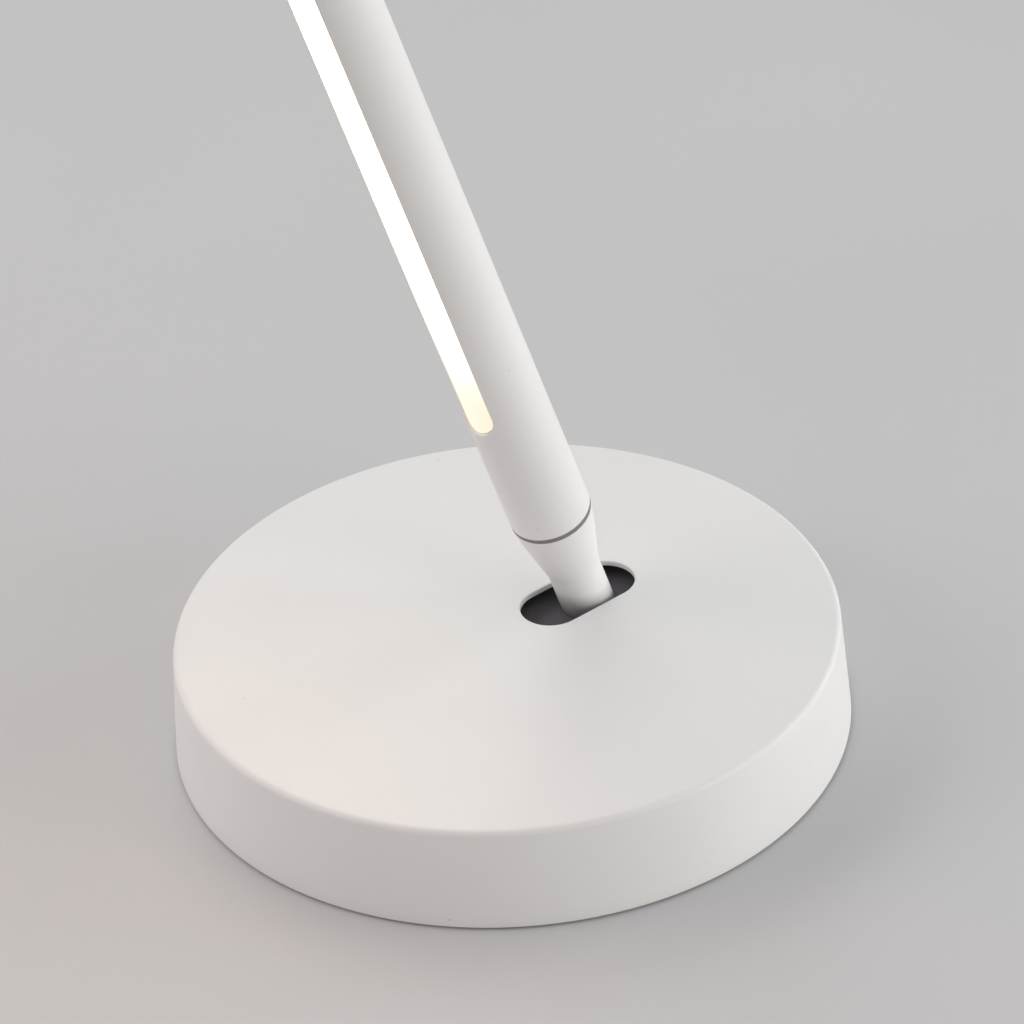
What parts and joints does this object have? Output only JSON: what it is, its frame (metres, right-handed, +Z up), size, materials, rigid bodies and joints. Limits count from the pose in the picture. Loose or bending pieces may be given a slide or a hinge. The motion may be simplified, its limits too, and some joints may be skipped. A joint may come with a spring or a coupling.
{
  "type": "floor lamp",
  "caption": "LED stick floor lamp: a slim straight tube with a long opal window, leaning from a weighted round base on a tilting, turning neck.",
  "frame": {"origin": "centre of the round base, on the floor under its pad", "axes": "+Z up; +X from the base's centre towards the slot and the power inlet; the tube leans towards -X at rest"},
  "size_m": [0.4687, 0.25, 1.2391],
  "materials": {
    "base_white_coat": "satin",
    "lamp_white_coat": "satin",
    "opal_diffuser": "satin",
    "black_plastic": "matte",
    "grey_nylon": "matte",
    "pad_rubber": "matte",
    "gaiter_rubber": "matte",
    "ballast_iron": "matte",
    "zinc_steel": "satin",
    "black_steel": "satin",
    "spring_steel": "polished",
    "brass_nipple": "satin",
    "bare_aluminium": "satin",
    "white_board": "satin",
    "green_board": "satin",
    "fibre_washer": "matte",
    "lead_jacket": "matte"
  },
  "bodies": {
    "base": {"base_cover": "base_white_coat", "base_plate": "zinc_steel", "base_pad": "pad_rubber", "ballast_weight": "ballast_iron", "cover_screw_1": "black_steel", "cover_screw_2": "black_steel", "cover_screw_3": "black_steel", "ballast_screw_1": "black_steel", "ballast_screw_2": "black_steel", "ballast_screw_3": "black_steel", "bracket_screw_1": "black_steel", "bracket_screw_2": "black_steel", "bracket_screw_3": "black_steel", "bracket_screw_4": "black_steel", "pivot_bracket": "zinc_steel", "pivot_axle": "black_steel", "friction_washer_1": "fibre_washer", "friction_washer_2": "fibre_washer", "disc_spring_1": "spring_steel", "disc_spring_2": "spring_steel", "axle_nut": "zinc_steel", "dc_inlet": "black_plastic", "inlet_nut": "zinc_steel", "driver_case": "black_plastic", "driver_board": "green_board", "driver_screw_1": "black_steel", "driver_screw_2": "black_steel", "inlet_lead": "lead_jacket", "base_lead": "lead_jacket", "slot_gaiter": "gaiter_rubber", "gaiter_block_1": "black_plastic", "gaiter_block_2": "black_plastic", "gaiter_clamp_1": "zinc_steel", "gaiter_clamp_2": "zinc_steel", "gaiter_screw_1": "black_steel", "gaiter_screw_2": "black_steel", "gaiter_screw_3": "black_steel", "gaiter_screw_4": "black_steel"},
    "neck": {"neck": "lamp_white_coat", "neck_knuckle": "zinc_steel", "neck_grub_screw": "black_steel", "swivel_nipple": "brass_nipple", "swivel_washer": "grey_nylon", "swivel_stop_pin": "zinc_steel", "wave_washer": "spring_steel", "swivel_nut": "zinc_steel", "neck_lead": "lead_jacket"},
    "tube": {"tube_housing": "lamp_white_coat", "lower_plug": "bare_aluminium", "swivel_bush": "black_plastic", "led_carrier": "bare_aluminium", "led_board": "white_board", "board_screw_1": "black_steel", "board_screw_2": "black_steel", "board_screw_3": "black_steel", "board_screw_4": "black_steel", "diffuser": "opal_diffuser", "top_cap": "lamp_white_coat", "tube_lead": "lead_jacket"}
  },
  "joints": [
    {"name": "tilt", "type": "hinge", "parent": "base", "child": "neck", "pos_m": [0.04531, 0, 0.014], "axis": [0, -1, 0], "range_deg": [-17, 20], "deforming": ["slot_gaiter"]},
    {"name": "swivel", "type": "hinge", "parent": "neck", "child": "tube", "pos_m": [0.04531, 0, 0.014], "axis": [-0.2924, 0, 0.9563], "range_deg": [-160, 160]}
  ]
}
